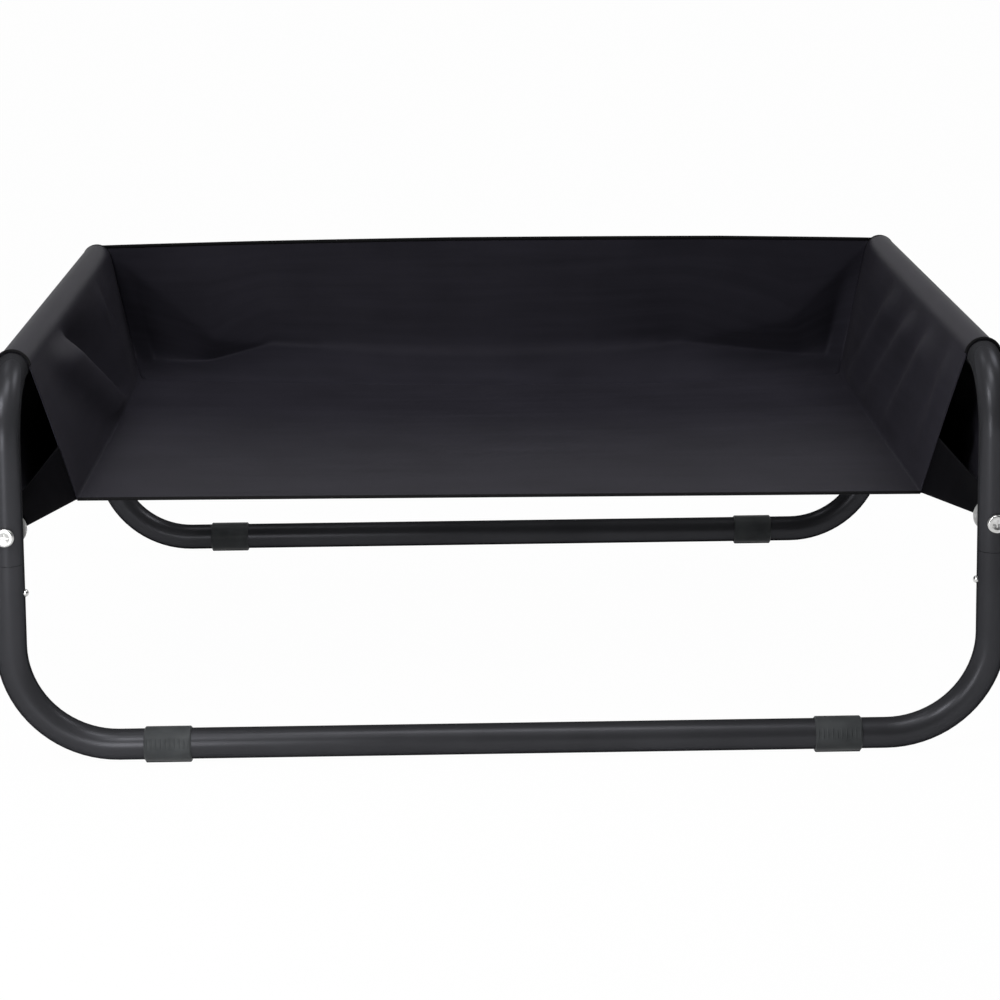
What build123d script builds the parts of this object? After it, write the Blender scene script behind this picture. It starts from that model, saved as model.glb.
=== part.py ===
from build123d import *
import math
import os

# Raised dog bed: a knock-down steel tube frame that carries an open-fronted cloth sling.
# X runs across the bed, Y from front (-) to back (+), Z up from the ground, in millimetres.

# Tube frame
tube_od = 25.0
tube_wall = 1.2
base_half_width = 392.5
post_half_depth = 300.0
post_lean = 1.5
top_rail_rise = 299.0
base_bend = 82.0
top_bend = 52.0
seam_rise = 153.0

# Swaged lower ends of the side tubes, which plug into the base tubes
spigot_gap = 0.2
spigot_length = 54.0
spigot_shoulder = 2.0
seam_bevel = 0.4

# Spring buttons that lock each plug
button_drop = 24.5
button_dia = 6.0
button_play = 0.08
button_proud = 3.0
button_dome = 2.2
button_flange_dia = 8.4
button_flange = 1.0
spring_strip = 0.8
spring_width = 8.0
spring_reach = 26.0
spring_pad = 6.0
spring_fold = 1.3
spring_gap = 0.25

# Corner bolts with their eyelets, washers and nuts
clamp_gap = 0.3
bolt_rise = 24.5
bolt_dia = 6.0
bolt_play = 0.3
bolt_head_dia = 15.0
bolt_head = 3.2
bolt_dish_dia = 9.0
bolt_dish = 0.8
bolt_cross_span = 7.0
bolt_cross_width = 1.4
bolt_cross_depth = 1.0
bolt_tail = 2.0
eyelet_dia = 27.0
eyelet_back_dia = 17.0
eyelet_bore = 9.0
eyelet_sheet = 0.6
eyelet_play = 0.1
washer_dia = 18.0
washer_thick = 1.2
nut_flats = 10.0
nut_thick = 5.0

# Ribbed feet
foot_centre = 269.0
foot_length = 37.6
foot_wall = 1.6
foot_sole = 1.8
foot_base = 9.0
foot_play = 0.1
foot_chamfer = 1.0
rib_count = 10
rib_pitch = 3.75
rib_radius = 0.95
rib_rise = 0.5
rib_swing = 9.0
rib_tilt = 18.0
rib_arc = 70.0

# Cloth sling
cloth = 0.8
cloth_gap = 0.3
floor_rise = 184.0
floor_inset = 8.5
crease_inset = 50.5
floor_front_inset = 65.0
floor_back_inset = 85.0
sleeve_over_bend = 4.0
ear_radius = 13.2
ear_join = 12.5
ear_low = 2.0
ear_high = 12.0
ear_steps = 4
hem_depth = 3.5
hem_strip = 0.6
binding_width = 2.5

# Back wall: a shallow lower band, a knee and a steep upper part, bowed out between its top corners
back_knee_run = 36.0
back_knee_rise = 16.0
back_top_rise = 12.0
back_bow = 12.0
back_facet = 0.80
back_steps = 3

# Pull folds across the side walls: where each starts at the top and ends at the floor, as parts of the wall
fold_height = 6.0
fold_spread = 0.04
left_folds = ((0.30, 0.80), (0.72, 0.92))
right_folds = ((0.24, 0.60), (0.42, 0.78), (0.64, 0.92))
fold_levels = 6

tube_r = tube_od / 2
bore_r = tube_r - tube_wall
spigot_r = bore_r - spigot_gap
spigot_bore_r = spigot_r - tube_wall
rail_z = foot_sole + tube_r
top_z = rail_z + top_rail_rise
seam_z = rail_z + seam_rise
button_z = seam_z - button_drop
bolt_z = seam_z + bolt_rise
floor_z = rail_z + floor_rise
floor_top = floor_z + cloth
lean = math.radians(post_lean)
floor_half_width = base_half_width - floor_inset
crease_x = base_half_width - crease_inset
floor_front = floor_front_inset - post_half_depth
floor_back = post_half_depth - floor_back_inset
sleeve_end = post_half_depth - top_bend + sleeve_over_bend
sleeve_r = tube_r + cloth_gap
corners = [(name_y + "_" + name_x, sx, sy) for name_y, sy in (("front", -1), ("back", 1))
           for name_x, sx in (("left", -1), ("right", 1))]


def post_x(z):
    return base_half_width - (z - rail_z) * math.tan(lean)


def post_point(sx, sy, z):
    return Vector(sx * post_x(z), sy * post_half_depth, z)


def post_plane(sx, sy, z):
    # Local x points from the post towards the middle of the bed, local z up the leaning post.
    inward = (-sx * math.cos(lean), 0, -math.sin(lean))
    upward = (-sx * math.sin(lean), 0, math.cos(lean))
    return Plane(origin=post_point(sx, sy, z), x_dir=inward, z_dir=upward)


def bolt_plane(sx, sy):
    # Local z runs along the bolt, from outside the post towards the middle of the bed.
    return Plane(origin=post_point(sx, sy, bolt_z), x_dir=(1, 0, 0), z_dir=(0, -sy, 0))


def tube_along(points, bend):
    path = FilletPolyline(*points, radius=bend)
    section = Circle(tube_r) - Circle(bore_r)
    return sweep(Plane(origin=path @ 0, z_dir=path % 0) * section, path=path)


def button_hole(sx, sy):
    drill = Cylinder(button_dia / 2 + button_play, tube_od, align=(Align.CENTER, Align.CENTER, Align.MIN))
    return post_plane(sx, sy, button_z) * (Plane.YZ * drill)


def bolt_hole(sx, sy):
    return bolt_plane(sx, sy) * Cylinder(bolt_dia / 2 + bolt_play, 2 * tube_od)


def base_tube(sy):
    points = [post_point(-1, sy, seam_z), post_point(-1, sy, rail_z)]
    points += [post_point(1, sy, rail_z), post_point(1, sy, seam_z)]
    tube = tube_along(points, base_bend)
    for sx in (-1, 1):
        tube -= button_hole(sx, sy)
    return tube


def spigot():
    # Full tube with a small bevel at its shoulder, then the plug, with a bore that narrows between them.
    outline = [(tube_r, spigot_shoulder), (bore_r, spigot_shoulder), (spigot_bore_r, 0)]
    outline += [(spigot_bore_r, -spigot_length), (spigot_r, -spigot_length), (spigot_r, 0)]
    outline += [(tube_r - seam_bevel, 0), (tube_r, seam_bevel)]
    profile = Plane.XZ * make_face(Polyline(*outline, close=True))
    return revolve(profile, axis=Axis.Z)


def side_tube(sx):
    low = seam_z + spigot_shoulder * math.cos(lean)
    points = [post_point(sx, -1, low), post_point(sx, -1, top_z)]
    points += [post_point(sx, 1, top_z), post_point(sx, 1, low)]
    tube = tube_along(points, top_bend)
    for sy in (-1, 1):
        tube += post_plane(sx, sy, seam_z) * spigot()
        tube -= button_hole(sx, sy)
        tube -= bolt_hole(sx, sy)
    return tube


def snap_button(sx, sy):
    # Flanged pin with a domed tip, standing proud of the base tube.
    seat = math.sqrt(spigot_bore_r ** 2 - (button_flange_dia / 2) ** 2) - spring_gap
    tail = seat - button_flange
    tip = tube_r + button_proud
    neck = tip - button_dome
    pin_r = button_dia / 2
    dome_r = (pin_r ** 2 + button_dome ** 2) / (2 * button_dome)
    half_turn = math.asin(pin_r / dome_r) / 2
    crest = (tip - dome_r + dome_r * math.cos(half_turn), dome_r * math.sin(half_turn))
    edge = Polyline((tip, 0), (tail, 0), (tail, button_flange_dia / 2), (seat, button_flange_dia / 2),
                    (seat, pin_r), (neck, pin_r))
    edge += ThreePointArc((neck, pin_r), crest, (tip, 0))
    return post_plane(sx, sy, button_z) * revolve(make_face(edge), axis=Axis.X)


def snap_spring(sx, sy):
    # Folded leaf behind the button: one leg under the flange, the other against the far side of the plug.
    half = spring_width / 2
    seat = math.sqrt(spigot_bore_r ** 2 - (button_flange_dia / 2) ** 2) - spring_gap
    front = seat - button_flange - spring_gap
    back = spring_gap - math.sqrt(spigot_bore_r ** 2 - half ** 2)
    middle = (front + back) / 2
    apex = spring_reach
    inside = apex - spring_fold
    outline = [(front, -spring_pad), (front, spring_pad), (middle + spring_strip, apex)]
    outline += [(middle - spring_strip, apex), (back, spring_pad), (back, -spring_pad)]
    outline += [(back + spring_strip, -spring_pad), (back + spring_strip, spring_pad)]
    outline += [(middle, inside), (front - spring_strip, spring_pad), (front - spring_strip, -spring_pad)]
    leaf = extrude(make_face(Polyline(*outline, close=True)), amount=half, both=True)
    return post_plane(sx, sy, button_z) * (Plane.XZ * leaf)


def corner_bolt(sx, sy):
    # Wide round head on the outer face of the post, dished, with a cross recess.
    seat = -tube_r - clamp_gap
    reach = ear_front() + cloth + eyelet_sheet + washer_thick + nut_thick + bolt_tail
    low = (Align.CENTER, Align.CENTER, Align.MIN)
    face = Pos(0, 0, seat - bolt_head)
    bolt = face * Cylinder(bolt_head_dia / 2, bolt_head, align=low)
    bolt = fillet(bolt.edges().group_by(Axis.Z)[0], bolt_head / 2)
    bolt += Pos(0, 0, seat) * Cylinder(bolt_dia / 2, reach - seat, align=low)
    bolt -= face * Cone(bolt_dish_dia / 2, bolt_cross_width / 2, bolt_dish, align=low)
    cut = bolt_dish + bolt_cross_depth
    for turn in (0, 90):
        slot = Box(bolt_cross_span, bolt_cross_width, cut, align=low)
        bolt -= face * Rot(0, 0, turn) * slot
    return bolt_plane(sx, sy) * bolt


def ring(outer, inner, low, high):
    flat = extrude(Circle(outer) - Circle(inner), amount=high - low)
    return Pos(0, 0, low) * flat


def ear_front():
    # Where the cloth ear starts along the bolt, past the eyelet's wide flange.
    return tube_r + clamp_gap + eyelet_sheet


def eyelet(sx, sy):
    # Pressed metal ring through the cloth ear: wide flange to the post, small flange behind.
    bore = eyelet_bore / 2
    near = ear_front()
    far = near + cloth
    part = ring(eyelet_dia / 2, bore, near - eyelet_sheet, near)
    part += ring(bore + eyelet_sheet, bore, near - eyelet_sheet, far + eyelet_sheet)
    part += ring(eyelet_back_dia / 2, bore, far, far + eyelet_sheet)
    return bolt_plane(sx, sy) * part


def washer(sx, sy):
    low = ear_front() + cloth + eyelet_sheet
    return bolt_plane(sx, sy) * ring(washer_dia / 2, bolt_dia / 2 + bolt_play, low, low + washer_thick)


def nut(sx, sy):
    low = ear_front() + cloth + eyelet_sheet + washer_thick
    hexagon = RegularPolygon(nut_flats / 2, 6, major_radius=False) - Circle(bolt_dia / 2)
    return bolt_plane(sx, sy) * (Pos(0, 0, low) * extrude(hexagon, amount=nut_thick))


def foot(sx, sy):
    # Closed ring round the base rail with a narrow flat sole, and short ribs that sink into its outer face.
    outer = tube_r + foot_wall
    section = Circle(outer) + Pos(0, -rail_z / 2) * Rectangle(foot_base, rail_z)
    body = extrude(section, amount=foot_length / 2, both=True)
    body = chamfer(body.faces().filter_by(Axis.Z).edges(), foot_chamfer)
    swing_x = outer + rib_rise - rib_radius - rib_swing
    rib = revolve(Plane.XZ * Pos(rib_swing, 0) * Circle(rib_radius), Axis.Z, rib_arc)
    rib = Rot(0, 0, rib_tilt) * Pos(swing_x, 0, 0) * Rot(0, 0, -rib_arc / 2) * rib
    for i in range(rib_count):
        place = (i - (rib_count - 1) / 2) * rib_pitch
        body += Pos(0, 0, place) * rib
    body -= Cylinder(tube_r + foot_play, foot_length)
    centre = (sx * foot_centre, sy * post_half_depth, rail_z)
    return Plane(origin=centre, x_dir=(0, sy, 0), z_dir=(sy, 0, 0)) * body


def loft_between(rows):
    return Solid.make_loft([Wire.make_polygon(row, close=True) for row in rows], ruled=True)


def rail_tangent(base_x, side):
    # Where cloth rising from the floor edge meets the sleeve: side 1 is its inner face, -1 its outer face.
    dx = post_x(top_z) - base_x
    dz = top_z - floor_top
    reach = math.hypot(dx, dz)
    radius = sleeve_r + cloth / 2
    angle = math.atan2(dz, dx) + side * math.asin(radius / reach)
    run = math.sqrt(reach ** 2 - radius ** 2)
    return base_x + run * math.cos(angle), floor_top + run * math.sin(angle), angle


def wall_rows(base_x, side, folds):
    # Closed outlines of a side wall from the floor up, each running front to back and round the cloth.
    top_x, top_height, angle = rail_tangent(base_x, side)
    normal = Vector(-math.sin(angle), 0, math.cos(angle))
    span = math.hypot(top_x - base_x, top_height - floor_top)
    rows = []
    for level in range(fold_levels + 1):
        u = level / fold_levels
        climb = cloth_gap + u * (span - 2 * cloth_gap)
        foot_point = Vector(base_x + climb * math.cos(angle), 0, floor_top + climb * math.sin(angle))
        front = floor_front + u * (-sleeve_end - floor_front)
        back = floor_back - cloth + u * (sleeve_end - floor_back)
        marks = [(front, 0)]
        for top_part, low_part in folds:
            part = low_part + u * (top_part - low_part)
            crest = fold_height * math.sin(math.pi * u)
            for shift, lift in ((-fold_spread, 0), (0, crest), (fold_spread, 0)):
                marks.append((front + (part + shift) * (back - front), lift))
        marks.append((back, 0))
        near = [foot_point + Vector(0, y, 0) + normal * (lift + cloth / 2) for y, lift in marks]
        far = [foot_point + Vector(0, y, 0) + normal * (lift - cloth / 2) for y, lift in marks]
        rows.append(near + far[::-1])
    return rows


def inner_wall(folds):
    return loft_between(wall_rows(crease_x, 1, folds))


def outer_wall():
    return loft_between(wall_rows(floor_half_width - cloth, -1, ()))


def arc_strip(inner, thick, y_from, y_to):
    # Cloth over the top rail, from the outer wall's tangent round to the inner wall's.
    start = rail_tangent(floor_half_width - cloth, -1)[2] - math.pi / 2
    stop = rail_tangent(crease_x, 1)[2] + math.pi / 2
    radii = (inner, inner + thick)
    middle = (start + stop) / 2
    near, far = [[(r * math.cos(a), r * math.sin(a)) for a in (start, middle, stop)] for r in radii]
    edge = ThreePointArc(*near) + Line(near[2], far[2])
    edge += ThreePointArc(*far[::-1]) + Line(far[0], near[0])
    here = Plane(origin=(post_x(top_z), y_from, top_z), x_dir=(1, 0, 0), z_dir=(0, -1, 0))
    return extrude(here * make_face(edge), amount=y_from - y_to)


def rail_sleeve():
    return arc_strip(sleeve_r, cloth, -sleeve_end, sleeve_end)


def sleeve_binding(sy):
    low = sy * (sleeve_end - binding_width / 2) - binding_width / 2
    return arc_strip(sleeve_r + cloth + cloth_gap, hem_strip, low, low + binding_width)


def floor_panel():
    corner = (Align.CENTER, Align.MIN, Align.MIN)
    plate = Box(2 * floor_half_width, floor_back - floor_front, cloth, align=corner)
    return Pos(0, floor_front, floor_z) * plate


def front_hem():
    # Tape folded over the floor's free front edge, between the two ears.
    low = floor_z - cloth_gap - hem_strip
    high = floor_top + cloth_gap + hem_strip
    lip = floor_front - cloth_gap - hem_strip
    back = lip + hem_depth
    inside = lip + hem_strip
    outline = [(lip, low), (back, low), (back, low + hem_strip), (inside, low + hem_strip)]
    outline += [(inside, high - hem_strip), (back, high - hem_strip), (back, high), (lip, high)]
    tape = Plane.YZ * make_face(Polyline(*outline, close=True))
    return extrude(tape, amount=crease_x - hem_depth, both=True)


def corner_ear(sx, sy):
    # Corner of the floor drawn out to the post, twisting into an upright round tab clamped by the bolt.
    edge = floor_back + cloth_gap if sy > 0 else floor_front - cloth_gap
    start = Vector(sx * (crease_x + floor_half_width) / 2, edge, floor_z + cloth / 2)
    tab_x = sx * (post_x(bolt_z) - ear_join)
    tab_y = sy * (post_half_depth - ear_front() - cloth / 2)
    stop = Vector(tab_x, tab_y, bolt_z + (ear_high - ear_low) / 2)
    start_half = (floor_half_width - crease_x) / 2 - cloth
    stop_half = (ear_high + ear_low) / 2
    rows = []
    for i in range(ear_steps + 1):
        t = i / ear_steps
        turn = math.radians(90 * t)
        half = start_half + t * (stop_half - start_half)
        across = Vector(sx * math.cos(turn), 0, math.sin(turn)) * half
        through = Vector(-sx * math.sin(turn), 0, math.cos(turn)) * (cloth / 2)
        middle = start + (stop - start) * t
        near, far = middle - through, middle + through
        rows.append([near - across, near + across, far + across, far - across])
    plate = Circle(ear_radius) - Circle(eyelet_bore / 2 + eyelet_sheet + eyelet_play)
    tab = bolt_plane(sx, sy) * (Pos(0, 0, ear_front()) * extrude(plate, amount=cloth))
    return tab + loft_between(rows)


def back_profile(s):
    # Front face of the back wall at s, from -1 at the left corner to 1 at the right: bottom, knee and top.
    corner = max(0.0, (abs(s) - back_facet) / (1 - back_facet))
    low_y, low_z = floor_back + cloth_gap, floor_top
    top_y, high_z = sleeve_end + cloth_gap + back_bow * (1 - s * s), top_z + back_top_rise
    part = back_knee_rise / (high_z - low_z)
    knee_y = low_y + back_knee_run + corner * (part * (top_y - low_y) - back_knee_run)
    return [(low_y, low_z), (knee_y, low_z + back_knee_rise), (top_y, high_z)]


def back_x(s, z):
    edge_top = post_x(top_z) - sleeve_r - cloth - hem_strip - 2 * cloth_gap
    edge_low = crease_x - cloth
    part = (z - floor_top) / (top_z + back_top_rise - floor_top)
    return s * (edge_low + part * (edge_top - edge_low))


def back_stations():
    inner = [i * back_facet / back_steps for i in range(-back_steps, back_steps + 1)]
    return [-1.0] + inner + [1.0]


def back_wall():
    rows = []
    for s in back_stations():
        near = back_profile(s)
        far = [(y + cloth, z) for y, z in near[::-1]]
        rows.append([Vector(back_x(s, z), y, z) for y, z in near + far])
    return loft_between(rows)


def back_hem():
    # Tape folded over the top edge of the back wall, following its bow.
    rows = []
    for s in back_stations():
        (knee_y, knee_z), (top_y, high_z) = back_profile(s)[1:]
        slope = (top_y - knee_y) / (high_z - knee_z)
        front, back = -cloth_gap - hem_strip, cloth + cloth_gap + hem_strip
        crown, inside, skirt = cloth_gap + hem_strip, cloth_gap, cloth_gap + hem_strip - hem_depth
        outline = [(front, skirt), (front, crown), (back, crown), (back, skirt), (back - hem_strip, skirt)]
        outline += [(back - hem_strip, inside), (front + hem_strip, inside), (front + hem_strip, skirt)]
        x = back_x(s, high_z)
        rows.append([Vector(x, top_y + out + up * slope, high_z + up) for out, up in outline])
    return loft_between(rows)


def build():
    nodes = {}
    for side, sy in (("front", -1), ("back", 1)):
        nodes[side + "_base_tube"] = base_tube(sy)
    for side, sx in (("left", -1), ("right", 1)):
        nodes[side + "_side_tube"] = side_tube(sx)
    for corner, sx, sy in corners:
        nodes[corner + "_foot"] = foot(sx, sy)
        nodes[corner + "_snap_button"] = snap_button(sx, sy)
        nodes[corner + "_snap_spring"] = snap_spring(sx, sy)
        nodes[corner + "_bolt"] = corner_bolt(sx, sy)
        nodes[corner + "_washer"] = washer(sx, sy)
        nodes[corner + "_nut"] = nut(sx, sy)
        nodes[corner + "_eyelet"] = eyelet(sx, sy)
        nodes[corner + "_ear"] = corner_ear(sx, sy)
    nodes["floor_panel"] = floor_panel()
    nodes["front_hem"] = front_hem()
    nodes["back_wall"] = back_wall()
    nodes["back_hem"] = back_hem()
    nodes["right_inner_wall"] = inner_wall(right_folds)
    nodes["left_inner_wall"] = mirror(inner_wall(left_folds), about=Plane.YZ)
    pairs = {"outer_wall": outer_wall(), "rail_sleeve": rail_sleeve()}
    pairs["front_sleeve_binding"] = sleeve_binding(-1)
    pairs["back_sleeve_binding"] = sleeve_binding(1)
    for name, part in pairs.items():
        nodes["right_" + name] = part
        nodes["left_" + name] = mirror(part, about=Plane.YZ)
    return nodes


os.makedirs("parts", exist_ok=True)
for node, shape in build().items():
    export_step(shape, os.path.join("parts", node + ".step"))
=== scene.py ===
import math

import bmesh
import bpy
from mathutils import Matrix, Vector, geometry, noise


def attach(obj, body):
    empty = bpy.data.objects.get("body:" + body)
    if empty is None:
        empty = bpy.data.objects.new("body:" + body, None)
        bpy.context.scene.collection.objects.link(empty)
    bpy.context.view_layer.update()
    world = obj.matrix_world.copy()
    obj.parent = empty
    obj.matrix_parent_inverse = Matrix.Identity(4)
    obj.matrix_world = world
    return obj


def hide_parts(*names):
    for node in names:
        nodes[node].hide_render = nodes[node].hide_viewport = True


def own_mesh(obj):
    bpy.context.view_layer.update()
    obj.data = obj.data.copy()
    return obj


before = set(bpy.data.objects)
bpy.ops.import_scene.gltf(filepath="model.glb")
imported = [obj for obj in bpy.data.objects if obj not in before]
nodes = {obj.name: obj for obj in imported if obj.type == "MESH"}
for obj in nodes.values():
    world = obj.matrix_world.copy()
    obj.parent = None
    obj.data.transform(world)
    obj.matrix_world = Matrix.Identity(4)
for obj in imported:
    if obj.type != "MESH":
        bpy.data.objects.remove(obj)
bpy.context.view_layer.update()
scene = bpy.context.scene
scene.view_settings.view_transform = "Standard"
sides = (("left", -1), ("right", 1))
corners = [(a + "_" + b, sx, sy) for a, sy in (("front", -1), ("back", 1)) for b, sx in sides]
print("frame loaded:", len(nodes), "nodes")


# finishes: noise sizes are (scale, detail), bumps are (strength, distance)

def newFinish(name, colour, roughness, specular):
    mat = bpy.data.materials.new(name)
    mat.use_nodes = True
    tree = mat.node_tree
    skin = tree.nodes["Principled BSDF"]
    skin.inputs["Base Color"].default_value = (*colour, 1)
    skin.inputs["Roughness"].default_value = roughness
    skin.inputs["Specular IOR Level"].default_value = specular
    return mat, tree, skin


def addNode(tree, kind, inputs=None, **settings):
    node = tree.nodes.new(kind)
    for key, value in settings.items():
        setattr(node, key, value)
    for key, value in (inputs or {}).items():
        node.inputs[key].default_value = value
    return node


def addNoise(tree, place, size):
    grain = addNode(tree, "ShaderNodeTexNoise", {"Scale": size[0], "Detail": size[1]})
    tree.links.new(place, grain.inputs["Vector"])
    return grain.outputs["Fac"]


def addTones(tree, skin, factor, tones, dark, light):
    # base colour that goes from dark to light between two values of the factor
    ramp = addNode(tree, "ShaderNodeValToRGB")
    for stop, at, colour in zip(ramp.color_ramp.elements, tones, (dark, light)):
        stop.position = at
        stop.color = (*colour, 1)
    tree.links.new(factor, ramp.inputs[0])
    tree.links.new(ramp.outputs[0], skin.inputs["Base Color"])


def addBump(tree, skin, height, size):
    bump = addNode(tree, "ShaderNodeBump", {"Strength": size[0], "Distance": size[1]})
    tree.links.new(height, bump.inputs["Height"])
    tree.links.new(bump.outputs[0], skin.inputs["Normal"])


coatLook = {"dark": (0.038, 0.0384, 0.0422), "light": (0.047, 0.0475, 0.0522), "tones": (0.35, 0.65),
            "roughness": 0.33, "specular": 0.0, "metal": 0.42, "rim": (0.05, 0.05, 0.05),
            "patch": (9.0, 3.0), "peel": (700.0, 2.0), "bump": (0.12, 0.0002)}


def powderCoat():
    # satin anthracite coat with a fine orange peel
    mat, tree, skin = newFinish("powderCoat", coatLook["light"], coatLook["roughness"], coatLook["specular"])
    skin.inputs["Metallic"].default_value = coatLook["metal"]
    skin.inputs["Specular Tint"].default_value = (*coatLook["rim"], 1)
    place = addNode(tree, "ShaderNodeTexCoord").outputs["Object"]
    patch = addNoise(tree, place, coatLook["patch"])
    peel = addNoise(tree, place, coatLook["peel"])
    addTones(tree, skin, patch, coatLook["tones"], coatLook["dark"], coatLook["light"])
    addBump(tree, skin, peel, coatLook["bump"])
    return mat


footLook = {"dark": (0.042, 0.0450, 0.0469), "light": (0.060, 0.0635, 0.0660), "tones": (0.3, 0.7),
            "roughness": 0.4, "specular": 0.05,
            "patch": (60.0, 2.0), "grain": (1400.0, 2.0), "bump": (0.15, 0.0002)}


def footPlastic():
    # matte moulding with a fine grain
    mat, tree, skin = newFinish("footPlastic", footLook["light"], footLook["roughness"], footLook["specular"])
    place = addNode(tree, "ShaderNodeTexCoord").outputs["Object"]
    grain = addNoise(tree, place, footLook["grain"])
    patch = addNoise(tree, place, footLook["patch"])
    addTones(tree, skin, patch, footLook["tones"], footLook["dark"], footLook["light"])
    addBump(tree, skin, grain, footLook["bump"])
    return mat


steelLook = {"dull": 0.8, "tones": (0.35, 0.7), "specular": 0.5,
             "haze": (350.0, 3.0), "bump": (0.05, 0.0002)}
zincLook = {"colour": (0.72, 0.72, 0.71), "roughness": 0.28, "metal": 1.0}
eyeletLook = {"colour": (0.86, 0.86, 0.85), "roughness": 0.5, "metal": 0.55}
springLook = {"colour": (0.42, 0.42, 0.44), "roughness": 0.4, "metal": 1.0}


def platedSteel(name, look):
    # plated steel with a faint haze
    mat, tree, skin = newFinish(name, look["colour"], look["roughness"], steelLook["specular"])
    skin.inputs["Metallic"].default_value = look["metal"]
    place = addNode(tree, "ShaderNodeTexCoord").outputs["Object"]
    haze = addNoise(tree, place, steelLook["haze"])
    dull = [c * steelLook["dull"] for c in look["colour"]]
    addTones(tree, skin, haze, steelLook["tones"], dull, look["colour"])
    addBump(tree, skin, haze, steelLook["bump"])
    return mat


clothLook = {"dark": (0.0139, 0.0133, 0.0180), "light": (0.0205, 0.0195, 0.0263), "pitch": 0.0009,
             "roughness": 0.48, "specular": 0.045, "sheen": 0.016, "tint": (0.93, 0.88, 1.0)}
# the ears are the sling cloth painted about seven times darker: painted shade for the ears under the walls
earShadeLook = {"dark": (0.0018, 0.0017, 0.0023), "light": (0.0028, 0.0027, 0.0036), "pitch": 0.0009,
           "roughness": 0.6, "specular": 0.04, "sheen": 0.0, "tint": (1, 1, 1)}
# the edge tapes are the sling cloth painted about three times darker: painted shade along the shadowed rolled
# edges of the hems and sleeve mouths
tapeShadeLook = {"dark": (0.004, 0.004, 0.0045), "light": (0.0065, 0.0063, 0.007), "pitch": 0.0006,
            "roughness": 0.8, "specular": 0.1, "sheen": 0.0, "tint": (1, 1, 1)}
weaveLook = {"waveTurn": 20, "sheenRoughness": 0.45, "slubScale": (6.0, 90.0, 1.0), "slub": (1.0, 3.0),
             "patch": (14.0, 3.0), "patchShare": 0.5, "tones": (0.32, 0.68), "bump": (0.1, 0.0003)}


def slingCloth(name, look):
    # coated plain weave: threads both ways on the sheet's own flat map, and slow patches of tone
    mat, tree, skin = newFinish(name, look["light"], look["roughness"], look["specular"])
    skin.inputs["Sheen Weight"].default_value = look["sheen"]
    skin.inputs["Sheen Roughness"].default_value = weaveLook["sheenRoughness"]
    skin.inputs["Sheen Tint"].default_value = (*look["tint"], 1)
    skin.inputs["Specular Tint"].default_value = (*look["tint"], 1)
    flat = addNode(tree, "ShaderNodeUVMap", uv_map="flat").outputs[0]
    stretch = addNode(tree, "ShaderNodeMapping", {"Scale": weaveLook["slubScale"]})
    tree.links.new(flat, stretch.inputs["Vector"])
    tone = addNode(tree, "ShaderNodeMix", {"Factor": weaveLook["patchShare"]}, data_type="FLOAT")
    tree.links.new(addNoise(tree, stretch.outputs[0], weaveLook["slub"]), tone.inputs["A"])
    tree.links.new(addNoise(tree, flat, weaveLook["patch"]), tone.inputs["B"])
    addTones(tree, skin, tone.outputs[0], weaveLook["tones"], look["dark"], look["light"])
    weaveScale = 2 * math.pi / weaveLook["waveTurn"] / look["pitch"]  # one band for each thread
    weave = addNode(tree, "ShaderNodeMath", operation="MULTIPLY")
    for i, way in enumerate("XY"):
        threads = addNode(tree, "ShaderNodeTexWave", {"Scale": weaveScale},
                          wave_type="BANDS", bands_direction=way)
        tree.links.new(flat, threads.inputs["Vector"])
        tree.links.new(threads.outputs["Fac"], weave.inputs[i])
    addBump(tree, skin, weave.outputs[0], weaveLook["bump"])
    return mat


coatFinish = powderCoat()
footFinish = footPlastic()
zincFinish = platedSteel("zincPlate", zincLook)
eyeletFinish = platedSteel("eyeletNickel", eyeletLook)
springFinish = platedSteel("springSteel", springLook)
clothFinish = slingCloth("slingCloth", clothLook)
# ear finish: the sling cloth with painted shade
earShadeFinish = slingCloth("earShadeCloth", earShadeLook)
# edge tape finish: the sling cloth with painted shade
tapeShadeFinish = slingCloth("edgeTapeShade", tapeShadeLook)


def dress(node, finish):
    mesh = nodes[node].data
    mesh.materials.clear()
    mesh.materials.append(finish)


for end in ("front", "back"):
    dress(end + "_base_tube", coatFinish)
for side, sx in sides:
    dress(side + "_side_tube", coatFinish)
for corner, sx, sy in corners:
    dress(corner + "_foot", footFinish)
    dress(corner + "_snap_spring", springFinish)
    dress(corner + "_eyelet", eyeletFinish)
    for part in ("snap_button", "bolt", "washer", "nut"):
        dress(corner + "_" + part, zincFinish)
print("finishes done")


# leaf springs: each one gets its own copy of its mesh

for corner, sx, sy in corners:
    spring = nodes[corner + "_snap_spring"]
    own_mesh(spring)
print("springs done")


# shared sling sizes, in metres

sling = {"creaseX": 0.342, "edgeX": 0.3832, "floorTop": 0.1991, "front": -0.235, "back": 0.215,
         "railX": 0.38467, "railZ": 0.3133, "wrapR": 0.0132, "sleeveEnd": 0.252,
         "thick": 0.0008, "tilt": -0.006}


def tangentTo(baseX, side):
    # slope and length of cloth rising from the floor to the wrap over the rail
    dx = sling["railX"] - baseX
    dz = sling["railZ"] - sling["floorTop"]
    reach = math.hypot(dx, dz)
    slope = math.atan2(dz, dx) + side * math.asin(sling["wrapR"] / reach)
    return slope, math.sqrt(reach ** 2 - sling["wrapR"] ** 2)


def easeIn(x, low, high):
    t = min(1.0, max(0.0, (x - low) / (high - low)))
    return t * t * (3 - 2 * t)


def within(x, rise, fall):
    # 1 between a soft rise and a soft fall, 0 outside them
    return easeIn(x, *rise) * (1 - easeIn(x, *fall))


def mix(a, b, t):
    return a + (b - a) * t


def bend(a, b, c, t):
    # soft turn from a to c that is pulled towards b
    return (1 - t) ** 2 * a + 2 * t * (1 - t) * b + t * t * c


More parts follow.
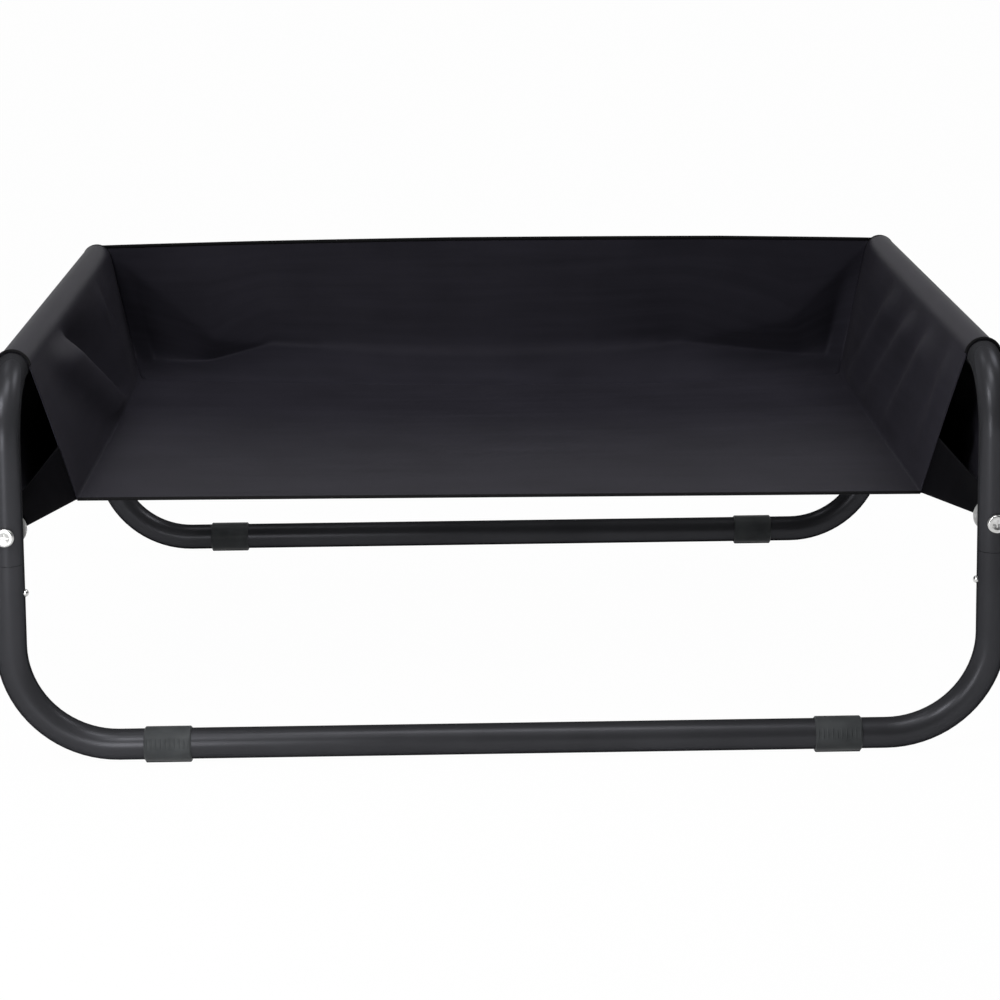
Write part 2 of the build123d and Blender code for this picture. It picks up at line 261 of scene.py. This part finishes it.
def along(points, x):
    # straight-line reading of a short list of (x, value) pairs
    for (x0, v0), (x1, v1) in zip(points, points[1:]):
        if x <= x1:
            return mix(v0, v1, max(0.0, (x - x0) / (x1 - x0)))
    return points[-1][1]


def cornerName(corner, what):
    end, side = corner.split("_")
    return end + side.capitalize() + what


def finishSheet(name, bm, finish, thick=0):
    for face in bm.faces:
        face.smooth = True
    mesh = bpy.data.meshes.new(name)
    bm.to_mesh(mesh)
    bm.free()
    piece = bpy.data.objects.new(name, mesh)
    scene.collection.objects.link(piece)
    mesh.materials.append(finish)
    if thick:
        solid = piece.modifiers.new("thickness", "SOLIDIFY")
        solid.thickness = thick
        solid.offset = 0
    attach(piece, "bed")
    return piece


def clothSheet(name, columns, rows, flat, place, rounds=()):
    # flat grid of cloth moved point by point to its place; the map "flat" keeps the uncut sheet in metres
    bm = bmesh.new()
    layer = bm.loops.layers.uv.new("flat")
    bmesh.ops.create_grid(bm, x_segments=columns, y_segments=rows, size=0.5)
    for face in bm.faces:
        for loop in face.loops:
            loop[layer].uv = ((loop.vert.co.x + 0.5) * flat[0], (loop.vert.co.y + 0.5) * flat[1])
    for vert in bm.verts:
        vert.co = place(vert.co.x + 0.5, vert.co.y + 0.5)
    for halfWidth, count in rounds:
        soft = [v for v in bm.verts if not v.is_boundary and abs(v.co.x) < halfWidth]
        for i in range(count):
            bmesh.ops.smooth_vert(bm, verts=soft, factor=0.5,
                                  use_axis_x=True, use_axis_y=True, use_axis_z=True)
    return finishSheet(name, bm, clothFinish, sling["thick"])


# floor

floorCut = {"columns": 192, "rows": 112, "sag": 0.0085, "sagMiddle": 0.06, "sagPower": 1.6,
            "lip": 0.005, "lipTurn": 1.35, "lipRise": 0.9, "tuck": 0.002,
            "ripple": 0.00035, "rippleFrom": (0.02, 0.15), "rippleScale": (2.2, 24.0), "rippleSeed": 3.1}
floorFlat = (2 * (sling["edgeX"] + floorCut["lip"]), sling["back"] - sling["front"] + floorCut["tuck"])


def floorZ(x, y):
    # tilt of the whole panel, its sag towards the back, and faint tension lines across
    t = (y - sling["front"]) / (sling["back"] - sling["front"])
    off = x - floorCut["sagMiddle"]
    across = min(1.0, abs(off / (sling["creaseX"] - math.copysign(floorCut["sagMiddle"], off))))
    sag = floorCut["sag"] * (1 - across ** 2) * max(0.0, t) ** floorCut["sagPower"]
    inside = easeIn(t, *floorCut["rippleFrom"]) * (1 - across ** 4)
    scaleX, scaleY = floorCut["rippleScale"]
    wave = noise.noise(Vector((x * scaleX, y * scaleY, floorCut["rippleSeed"])))
    ripple = floorCut["ripple"] * inside * wave
    return sling["floorTop"] - sling["thick"] / 2 + sling["tilt"] * x - sag + ripple


def floorPlace(u, v):
    # the lip past the outer walls turns up and back in
    x = (u - 0.5) * floorFlat[0]
    y = mix(sling["front"], sling["back"] + floorCut["tuck"], v)
    spare = max(0.0, abs(x) - sling["edgeX"])
    x = math.copysign(abs(x) - floorCut["lipTurn"] * spare, x)
    return Vector((x, y, floorZ(x, y) + floorCut["lipRise"] * spare))


floorPiece = clothSheet("floorCloth", floorCut["columns"], floorCut["rows"], floorFlat, floorPlace)
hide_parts("floor_panel")
print("floor done")


# side walls, each one sheet from the floor crease over the rail and down outside

innerSlope, innerRun = tangentTo(sling["creaseX"], 1)
outerSlope, outerRun = tangentTo(sling["edgeX"], -1)
wrapFrom = innerSlope + math.pi / 2
wrapTo = outerSlope - math.pi / 2
wrapRun = sling["wrapR"] * (wrapFrom - wrapTo)
# the folds fade out over shares of the climb (low, top), of the sheet's length (front, back)
# and of their own line (start, end)
wallCut = {"columns": 190, "rows": 110, "edgeBow": 0.003, "outerSpread": 0.12, "tuck": 0.003,
           "toe": 0.004, "toeDepth": (-0.0006, -0.0001), "round": (0.0012, 0.003), "roundTo": 0.4,
           "bulge": 0.001, "bulgeAt": 0.78, "bulgeReach": 0.17,
           "foldLow": (0.0, 0.12), "foldTop": (0.68, 1.0), "foldFront": (0.0, 0.1), "foldBack": (0.95, 1.0),
           "foldStart": (-0.12, 0.2), "foldEnd": (0.6, 1.1)}
girth = wallCut["toe"] + innerRun + wrapRun + outerRun
wallFlat = (2 * sling["sleeveEnd"] + wallCut["tuck"], girth)
# slack of the back corner seam: depth, share of it outwards, lean to the low end, where it starts and fades
seamCut = {"back": 0.036, "out": 0.2, "low": 0.45, "from": 0.78, "fade": 5}
# pull folds: (front-back place, climb) at the top and low ends, height, half-width of the step,
# reach, and how much of the height stands in front of the line
wallFolds = {
    "left": [((-0.175, 0.156), (0.128, -0.006), 0.0150, 0.0060, 0.040, 0.3),
             ((-0.194, 0.121), (0.109, -0.041), -0.0050, 0.0200, 0.024, 1.0),
             ((0.128, 0.140), (0.150, 0.070), 0.0030, 0.0100, 0.014, 1.0)],
    "right": [((0.060, 0.129), (0.190, 0.000), 0.0062, 0.0200, 0.024, 1.0),
              ((-0.042, 0.128), (0.100, 0.001), 0.0062, 0.0190, 0.022, 1.0),
              ((-0.118, 0.128), (-0.014, 0.000), 0.0055, 0.0180, 0.021, 1.0),
              ((-0.196, 0.130), (-0.165, 0.020), 0.0030, 0.0180, 0.020, 1.0)],
}


def foldLift(y, climb, folds):
    # each fold swells in front of its line, steps down across it and levels out again behind
    lift = 0.0
    for (topY, topC), (lowY, lowC), height, step, reach, front in folds:
        runY, drop = lowY - topY, topC - lowC
        length = math.hypot(runY, drop)
        part = ((y - topY) * runY - (climb - topC) * drop) / length ** 2
        off = ((y - topY) * drop + (climb - topC) * runY) / length
        fade = within(part, wallCut["foldStart"], wallCut["foldEnd"]) * (1 if off > 0 else front)
        lift -= height * fade * math.tanh(off / step) * math.exp(-0.5 * (off / reach) ** 2)
    return lift


def seamSwell(part):
    # how far the back corner seam stands back from a straight line
    return seamCut["back"] * math.sin(math.pi * part ** seamCut["low"])


def wallLine(run):
    # side wall profile without folds: part of the climb, distance from the middle and height
    if run <= 0:
        return 0.0, sling["creaseX"] + run, sling["floorTop"]
    if run <= innerRun:
        x = sling["creaseX"] + run * math.cos(innerSlope)
        return run / innerRun, x, sling["floorTop"] + run * math.sin(innerSlope)
    if run <= innerRun + wrapRun:
        turn = wrapFrom - (run - innerRun) / sling["wrapR"]
        x = sling["railX"] + sling["wrapR"] * math.cos(turn)
        return 1.0, x, sling["railZ"] + sling["wrapR"] * math.sin(turn)
    climb = outerRun - (run - innerRun - wrapRun)
    x = sling["edgeX"] + climb * math.cos(outerSlope)
    return climb / outerRun, x, sling["floorTop"] + climb * math.sin(outerSlope)


def wallPlace(side, sx):
    folds = wallFolds[side]

    def place(u, v):
        run = v * girth - wallCut["toe"]
        part, x, z = wallLine(run)
        curve = mix(*wallCut["round"], easeIn(u, 0.0, wallCut["roundTo"]))
        if abs(run) < curve:
            t = (run + curve) / (2 * curve)
            near, far = wallLine(-curve), wallLine(curve)
            x = bend(near[1], sling["creaseX"], far[1], t)
            z = bend(near[2], sling["floorTop"], far[2], t)
        spread = part if run <= innerRun else part ** wallCut["outerSpread"]
        bow = wallCut["edgeBow"] * math.sin(math.pi * part) * (1 if run <= innerRun else -1)
        front = mix(sling["front"], -sling["sleeveEnd"], spread) + bow
        back = mix(sling["back"], sling["sleeveEnd"], spread) + wallCut["tuck"]
        if 0 < run <= innerRun:
            back += seamSwell(part)
            x += seamCut["out"] * seamSwell(part) * easeIn(u, seamCut["from"], 1.0)
        y = mix(front, back, u)
        if 0 < run <= innerRun:
            ends = within(part, wallCut["foldLow"], wallCut["foldTop"])
            ends *= within(u, wallCut["foldFront"], wallCut["foldBack"])
            swell = wallCut["bulge"] * math.exp(-((part - wallCut["bulgeAt"]) / wallCut["bulgeReach"]) ** 2)
            lift = ends * (foldLift(y, run, folds) + swell)
            x -= lift * math.sin(innerSlope)
            z += lift * math.cos(innerSlope)
        if run < innerRun:
            above = mix(*wallCut["toeDepth"], easeIn(run, -wallCut["toe"], 0.0))
            z += mix(floorZ(sx * x, y) - sling["floorTop"] + above, 0.0, part)
        else:
            z += sling["tilt"] * sx * x * (1 - part)
        return Vector((sx * x, y, z))

    return place


for side, sx in sides:
    wall = clothSheet(side + "SideCloth", wallCut["columns"], wallCut["rows"], wallFlat, wallPlace(side, sx))
    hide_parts(side + "_inner_wall", side + "_rail_sleeve", side + "_outer_wall")
print("side walls done")


# back wall: shallow lower band, knee, steep upper part and a facet at each corner

# footT, kneeT and shoulderT are shares of the way up the sheet; rounds are (half width, smoothing passes)
backCut = {"columns": 190, "rows": 60, "cornerX": 0.3797, "topZ": 0.3253, "topGap": 0.0007, "bow": 0.012,
           "footX": 0.3425, "footY": 0.2152, "footBow": 0.001, "footLift": 0.0008,
           "toe": 0.008, "toeTaper": 0.6, "toeLift": -0.0004, "climb": 0.172,
           "footT": 0.05, "kneeT": 0.26, "shoulderT": 0.95,
           "shoulderTurn": 30, "shoulderGap": 0.0003, "shoulderY": 0.2525,
           "rounds": [(1.0, 3), (0.17, 12), (0.14, 12), (0.11, 12)]}
backFlat = (2 * backCut["cornerX"], backCut["climb"])
# knee line: across, front-back and height; its ends are where the corner slack starts
kneeLine = [(-0.218, 0.2640, 0.2228), (-0.10, 0.2560, 0.2156), (0.0, 0.2545, 0.2123),
            (0.10, 0.2575, 0.2135), (0.193, 0.2640, 0.2200)]
# slack at each back corner: bends of the ridge from the rail to the knee, and of the valley from
# the floor to the knee, each after its part of the way
cornerSlack = {
    -1: {"ridge": [(0.64, (-0.2730, 0.2595, 0.2292))],
         "valley": [(0.14, (-0.3340, 0.2600, 0.2030)), (0.64, (-0.2795, 0.2690, 0.2052))]},
    1: {"ridge": [(0.40, (0.3010, 0.2600, 0.2440))],
        "valley": [(0.12, (0.3360, 0.2600, 0.1988)), (0.40, (0.3110, 0.2710, 0.2024))]},
}
# height of the top edge over its level, from the left corner (-1) to the right one (1)
topLine = [(-1.0, 0.0), (-0.6, 0.0012), (-0.1, 0.0018), (0.6, 0.0008), (1.0, -0.0016)]


def backTop(s):
    y = sling["sleeveEnd"] + backCut["topGap"] + backCut["bow"] * (1 - s * s)
    return Vector((s * backCut["cornerX"], y, backCut["topZ"] + along(topLine, s)))


def backFoot(s, ahead=0.0, above=backCut["footLift"]):
    x = s * (backCut["footX"] - ahead * backCut["toeTaper"])
    inside = min(1.0, abs(x) / sling["creaseX"])
    y = backCut["footY"] - backCut["footBow"] * (1 - inside) - ahead
    return Vector((x, y, floorZ(x, sling["back"] - ahead) + above))


def backKnee(x):
    y = along([(k[0], k[1]) for k in kneeLine], x)
    z = along([(k[0], k[2]) for k in kneeLine], x)
    return Vector((x, y, z))


def backShoulder(sign):
    # where the corner ridge leaves the wrap over the rail
    turn = math.radians(backCut["shoulderTurn"])
    x = sling["railX"] - sling["wrapR"] * math.cos(turn) + backCut["shoulderGap"]
    return Vector((sign * x, backCut["shoulderY"], sling["railZ"] + sling["wrapR"] * math.sin(turn)))


def bentLine(start, bends, end, t):
    points = [(0.0, start)] + [(at, Vector(spot)) for at, spot in bends] + [(1.0, end)]
    for (t0, p0), (t1, p1) in zip(points, points[1:]):
        if t <= t1:
            return p0.lerp(p1, (t - t0) / (t1 - t0))
    return end


def backPlace(u, v):
    # each column runs through its marks: toe, foot, knee and top, with a valley and a ridge at the corners
    s = 2 * u - 1
    sign = -1 if s < 0 else 1
    end = kneeLine[0][0] if s < 0 else kneeLine[-1][0]
    share = abs(end) / backCut["cornerX"]
    footT, kneeT = backCut["footT"], backCut["kneeT"]
    top = backTop(s)
    marks = [(0.0, backFoot(s, backCut["toe"], backCut["toeLift"])), (footT, backFoot(s))]
    if abs(s) <= share:
        marks.append((kneeT, backKnee(s * backCut["cornerX"])))
    else:
        part = (1 - abs(s)) / (1 - share)
        knee = backKnee(end)
        low = bentLine(backFoot(sign), cornerSlack[sign]["valley"], knee, part)
        high = bentLine(backShoulder(sign), cornerSlack[sign]["ridge"], knee, part)
        marks += [(mix(footT, kneeT, part), low), (mix(backCut["shoulderT"], kneeT, part), high)]
    marks.append((1.0, top))
    for i, ((t0, p0), (t1, p1)) in enumerate(zip(marks, marks[1:])):
        if v <= t1:
            t = (v - t0) / max(1e-6, t1 - t0)
            spot = p0.lerp(p1, t)
            if i == len(marks) - 2:
                spot.y = mix(p1.y, p0.y, (1 - t) ** 2)  # steeper towards the top
            elif i == 2:
                slack = Vector((sign * seamCut["out"], 1, 0)) * seamSwell(t)
                spot += slack * (1 - part) ** seamCut["fade"]
            return spot
    return top


backPiece = clothSheet("backCloth", backCut["columns"], backCut["rows"], backFlat, backPlace,
                       backCut["rounds"])
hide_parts("back_wall")
print("back wall done")


# corner ears from the floor strip to the bolts

earCut = {"rows": 16, "columns": 20, "climb": 0.048, "inset": 0.0008,
          "boltX": 0.38785, "tabY": 0.2862, "boltZ": 0.1918, "tabRadius": 0.0132, "hole": 0.0055,
          "segments": 40, "joinRadius": 0.0128, "joinFrom": 0.12, "joinTo": 1.8}


def earRoot(sx, sy, w):
    # place on the end edge of the inner wall, from the floor corner (w 0) to the top of the ear (w 1)
    part, x, z = wallLine(w * earCut["climb"])
    if sy < 0:
        y = mix(sling["front"], -sling["sleeveEnd"], part) + earCut["inset"]
    else:
        slack = seamSwell(part)
        y = mix(sling["back"], sling["sleeveEnd"], part) + slack + wallCut["tuck"] - earCut["inset"]
        x += seamCut["out"] * slack + earCut["inset"]
    drop = mix(floorZ(sx * x, y) - sling["floorTop"], 0.0, part)
    return Vector((sx * x, y, z + drop))


def earTip(tab, sx, w):
    # place on the tab's rim, from its inner side (w 0) round to its top (w 1)
    turn = mix(earCut["joinFrom"], earCut["joinTo"], w)
    return tab + Vector((-sx * math.cos(turn), 0, math.sin(turn))) * earCut["joinRadius"]


def makeEar(corner, sx, sy):
    # gusset from the low end of the inner wall's edge to a round tab on the bolt
    bm = bmesh.new()
    layer = bm.loops.layers.uv.new("flat")
    bmesh.ops.create_grid(bm, x_segments=earCut["columns"], y_segments=earCut["rows"], size=0.5)
    low, high = earRoot(sx, sy, 0), earRoot(sx, sy, 1)
    tab = Vector((sx * earCut["boltX"], sy * earCut["tabY"], earCut["boltZ"]))
    start = (high - low).length
    reach = (tab - low).length
    for face in bm.faces:
        for loop in face.loops:
            loop[layer].uv = ((loop.vert.co.x + 0.5) * start, loop.vert.co.y * reach)
    for vert in bm.verts:
        w, t = vert.co.x + 0.5, vert.co.y + 0.5
        vert.co = earRoot(sx, sy, w).lerp(earTip(tab, sx, w), t)
    place = Matrix.Translation(tab) @ Matrix.Rotation(math.pi / 2, 4, "X")
    loops = []
    for radius in (earCut["tabRadius"], earCut["hole"]):
        ring = bmesh.ops.create_circle(bm, segments=earCut["segments"], radius=radius, matrix=place)["verts"]
        loops += [e for e in {e for v in ring for e in v.link_edges} if all(v in ring for v in e.verts)]
    made = bmesh.ops.bridge_loops(bm, edges=loops)["faces"]
    for face in made:
        for loop in face.loops:
            loop[layer].uv = (loop.vert.co.x, loop.vert.co.z)
    # the ear takes the darker cloth, which is painted shade
    ear = finishSheet(cornerName(corner, "Ear"), bm, earShadeFinish, sling["thick"])
    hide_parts(corner + "_ear")
    tipLow, tipHigh = earTip(tab, sx, 0), earTip(tab, sx, 1)
    cut = geometry.area_tri(low, high, tipLow) + geometry.area_tri(high, tipHigh, tipLow)
    cut += math.pi * (earCut["tabRadius"] ** 2 - earCut["hole"] ** 2)


for corner, sx, sy in corners:
    makeEar(corner, sx, sy)
print("ears done")


# edge tapes, in darker cloth that paints the shade of their rolled edges

tapeCut = {"hemDepth": 0.0034, "hemHeight": 0.0024, "hemSteps": 60, "hemProud": 0.0009, "hemShort": 0.0005,
           "leanFrom": 0.9, "bindWide": 0.0025, "bindSteps": 40, "bindPast": 0.1, "bindInset": 0.001,
           "bindRadius": {"front": 0.01395, "back": 0.0127}, "ringSides": 12, "square": 0.7}


def tapeAlong(name, path, steps, wide, tall):
    # rounded flat bar pushed along a path; path(t) gives the centre, the way its width points, and up
    bm = bmesh.new()
    layer = bm.loops.layers.uv.new("flat")
    ring = bmesh.ops.create_circle(bm, segments=tapeCut["ringSides"], radius=0.5)["verts"]
    for vert in ring:
        swell = (max(abs(vert.co.x), abs(vert.co.y)) * 2) ** tapeCut["square"]
        vert.co = Vector((vert.co.x / swell, vert.co.y / swell, 0))
    shape = [v.co.copy() for v in ring]
    edges = bm.edges[:]
    rows = [ring]
    for i in range(steps):
        made = bmesh.ops.extrude_edge_only(bm, edges=edges)["geom"]
        edges = [g for g in made if isinstance(g, bmesh.types.BMEdge)]
        fresh = [g for g in made if isinstance(g, bmesh.types.BMVert)]
        fresh.sort(key=lambda v: min(range(len(shape)), key=lambda k: (rows[0][k].co - v.co).length))
        rows.append(fresh)
    for i, row in enumerate(rows):
        centre, across, up = path(i / steps)
        for vert, spot in zip(row, shape):
            vert.co = centre + across * (spot.x * wide) + up * (spot.y * tall)
    bmesh.ops.holes_fill(bm, edges=[e for e in bm.edges if e.is_boundary], sides=0)
    bmesh.ops.recalc_face_normals(bm, faces=bm.faces[:])
    for face in bm.faces:
        for loop in face.loops:
            loop[layer].uv = (loop.vert.co.x + loop.vert.co.y, loop.vert.co.z)
    # the tape takes the darker cloth, which is painted shade
    tape = finishSheet(name, bm, tapeShadeFinish)
    return tape


def frontPath(t):
    x = mix(-1, 1, t) * (sling["creaseX"] - tapeCut["hemShort"])
    y = sling["front"] + tapeCut["hemDepth"] / 2 - tapeCut["hemProud"]
    return Vector((x, y, floorZ(x, sling["front"]))), Vector((0, 1, 0)), Vector((0, 0, 1))


def backPath(t):
    top = backTop(mix(-1, 1, t))
    lean = (top - backPlace(t, tapeCut["leanFrom"])).normalized()
    return top - lean * (tapeCut["hemDepth"] / 2 - tapeCut["hemProud"]), lean, Vector((0, 1, 0))


def bindPath(sx, sy, radius):
    def path(t):
        turn = mix(wrapFrom + tapeCut["bindPast"], wrapTo - tapeCut["bindPast"], t)
        out = Vector((sx * math.cos(turn), 0, math.sin(turn)))
        y = sy * (sling["sleeveEnd"] - tapeCut["bindInset"])
        return Vector((sx * sling["railX"], y, sling["railZ"])) + out * radius, out, Vector((0, 1, 0))
    return path


frontHem = tapeAlong("frontHem", frontPath, tapeCut["hemSteps"], tapeCut["hemDepth"], tapeCut["hemHeight"])
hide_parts("front_hem")
backHem = tapeAlong("backHem", backPath, tapeCut["hemSteps"], tapeCut["hemDepth"], tapeCut["hemHeight"])
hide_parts("back_hem")
for corner, sx, sy in corners:
    end, side = corner.split("_")
    path = bindPath(sx, sy, tapeCut["bindRadius"][end])
    wide = tapeCut["bindWide"]
    binding = tapeAlong(cornerName(corner, "Binding"), path, tapeCut["bindSteps"], wide, wide)
    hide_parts(side + "_" + end + "_sleeve_binding")
print("tapes done")


# stage: floor, light and camera

stageLook = {"floor": (0.7, 0.7, 0.7), "roughness": 0.9, "specular": 0.0, "keep": 0.985, "ambient": 0.03,
             "reach": 9.0, "back": 3.5, "rise": 3.0, "sweep": 0.8, "sweepSteps": 12}


def behindObject(tree):
    # 1 for rays that look straight at the background or mirror it
    path = addNode(tree, "ShaderNodeLightPath")
    seen = addNode(tree, "ShaderNodeMath", operation="MAXIMUM")
    both = addNode(tree, "ShaderNodeMath", operation="MAXIMUM")
    tree.links.new(path.outputs["Is Camera Ray"], seen.inputs[0])
    tree.links.new(path.outputs["Is Glossy Ray"], seen.inputs[1])
    tree.links.new(seen.outputs[0], both.inputs[0])
    tree.links.new(path.outputs["Is Transmission Ray"], both.inputs[1])
    return both.outputs[0]


def makeFloor():
    # floor that sweeps up into a backdrop
    bm = bmesh.new()
    bmesh.ops.create_grid(bm, x_segments=1, y_segments=1, size=stageLook["reach"])
    far = [v for v in bm.verts if v.co.y > 0]
    for vert in far:
        vert.co.y = stageLook["back"]
    edge = [e for e in bm.edges if all(v in far for v in e.verts)]
    raised = bmesh.ops.extrude_edge_only(bm, edges=edge)["geom"]
    for vert in raised:
        if isinstance(vert, bmesh.types.BMVert):
            vert.co.z += stageLook["rise"]
    bmesh.ops.bevel(bm, geom=edge, offset=stageLook["sweep"], segments=stageLook["sweepSteps"],
                    profile=0.5, affect="EDGES", material=-1)
    for face in bm.faces:
        face.smooth = True
    mesh = bpy.data.meshes.new("studioFloor")
    bm.to_mesh(mesh)
    bm.free()
    floor = bpy.data.objects.new("studioFloor", mesh)
    scene.collection.objects.link(floor)
    mat, tree, skin = newFinish("studioFloor", stageLook["floor"], stageLook["roughness"],
                                stageLook["specular"])
    glow = addNode(tree, "ShaderNodeEmission", {"Strength": 1.0})
    blend = addNode(tree, "ShaderNodeMixShader")
    amount = addNode(tree, "ShaderNodeMath", {1: stageLook["keep"]}, operation="MULTIPLY")
    tree.links.new(behindObject(tree), amount.inputs[0])
    tree.links.new(amount.outputs[0], blend.inputs[0])
    tree.links.new(skin.outputs[0], blend.inputs[1])
    tree.links.new(glow.outputs[0], blend.inputs[2])
    tree.links.new(blend.outputs[0], tree.nodes["Material Output"].inputs["Surface"])
    mesh.materials.append(mat)


def makeWorld():
    world = bpy.data.worlds.new("studio")
    scene.world = world
    world.use_nodes = True
    sky = world.node_tree.nodes["Background"]
    sky.inputs["Color"].default_value = (1, 1, 1, 1)
    sky.inputs["Strength"].default_value = stageLook["ambient"]


lamps = {
    "overheadFront": {"at": (0.0, -0.7, 2.2), "aim": (0, 0, 0.2), "size": (0.8, 0.7), "watts": 14.5},
    "overheadLeft": {"at": (-0.7, 0.7, 2.35), "aim": (0, 0, 0.2), "size": (0.6, 0.7), "watts": 5.6},
    "overheadRight": {"at": (1.25, 0.5, 2.0), "aim": (0, 0, 0.2), "size": (0.8, 0.8), "watts": 17.5},
    "frontHigh": {"at": (-0.1, -1.9, 2.3), "aim": (0, 0, 0.2), "size": (1.4, 0.8), "watts": 3.8},
    "nearLeft": {"at": (-0.75, -1.15, 1.35), "aim": (-0.2, -0.3, 0.1), "size": (0.4, 0.4), "watts": 12.5},
    "lowLeft": {"at": (-0.46, -1.2, 0.26), "aim": (-0.33, -0.3, 0.1), "size": (0.2, 0.4), "watts": 4.6},
}


def makeLamps():
    for name, lamp in lamps.items():
        data = bpy.data.lights.new(name, "AREA")
        data.shape = "RECTANGLE"
        data.size, data.size_y = lamp["size"]
        data.energy = lamp["watts"]
        light = bpy.data.objects.new(name, data)
        light.location = lamp["at"]
        light.rotation_euler = (Vector(lamp["aim"]) - Vector(lamp["at"])).to_track_quat("-Z", "Y").to_euler()
        scene.collection.objects.link(light)


cameraView = {"at": (-0.0345, -2.2198, 0.7385), "yaw": 0.0173, "pitch": 0.2671, "roll": -0.0094,
              "sensor": 36.0, "lens": 91.40}


def makeCamera():
    data = bpy.data.cameras.new("camera")
    data.sensor_width = cameraView["sensor"]
    data.lens = cameraView["lens"]
    camera = bpy.data.objects.new("camera", data)
    yaw = Matrix.Rotation(-cameraView["yaw"], 4, "Z")
    pitch = Matrix.Rotation(math.pi / 2 - cameraView["pitch"], 4, "X")
    roll = Matrix.Rotation(cameraView["roll"], 4, "Z")
    camera.matrix_world = Matrix.Translation(cameraView["at"]) @ (yaw @ pitch) @ roll
    scene.collection.objects.link(camera)
    scene.camera = camera


makeFloor()
makeWorld()
makeLamps()
makeCamera()
print("stage done")
